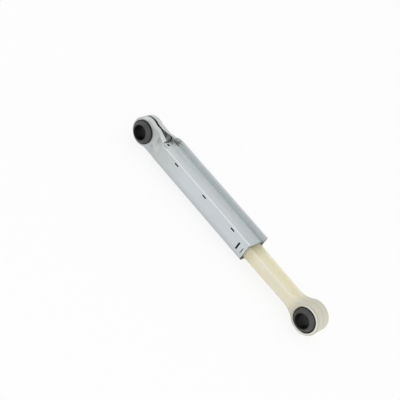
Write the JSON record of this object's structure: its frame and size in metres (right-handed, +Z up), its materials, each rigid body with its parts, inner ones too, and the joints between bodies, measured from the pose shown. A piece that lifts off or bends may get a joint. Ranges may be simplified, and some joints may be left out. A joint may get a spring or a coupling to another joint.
{
  "type": "washing machine shock absorber",
  "caption": "Telescopic friction damper: folded steel housing with a forked end, a sliding nylon rod with a round eye, and a rubber bush in each end for a fixing pin.",
  "frame": {"origin": "centre of the bush in the housing's forked end", "axes": "+X along the damper to the rod's eye, +Y along both fixing pins, +Z up, square to the housing's recessed plate"},
  "size_m": [0.245, 0.0228, 0.0274],
  "materials": {
    "galvanised_steel": "galvanised, satin",
    "rubber": "matt",
    "dark_plastic": "matt",
    "felt": "greased felt",
    "nylon": "satin, natural"
  },
  "bodies": {
    "housing": {"steel_housing": "galvanised_steel", "housing_bush": "rubber", "guide_ring": "dark_plastic", "friction_pad_top": "felt", "friction_pad_bottom": "felt"},
    "rod": {"damper_rod": "nylon", "rod_bush": "rubber"}
  },
  "joints": [
    {"name": "rod_slide", "type": "slide", "parent": "housing", "child": "rod", "axis": [1, 0, 0], "range_m": [-0.046, 0.04]}
  ]
}
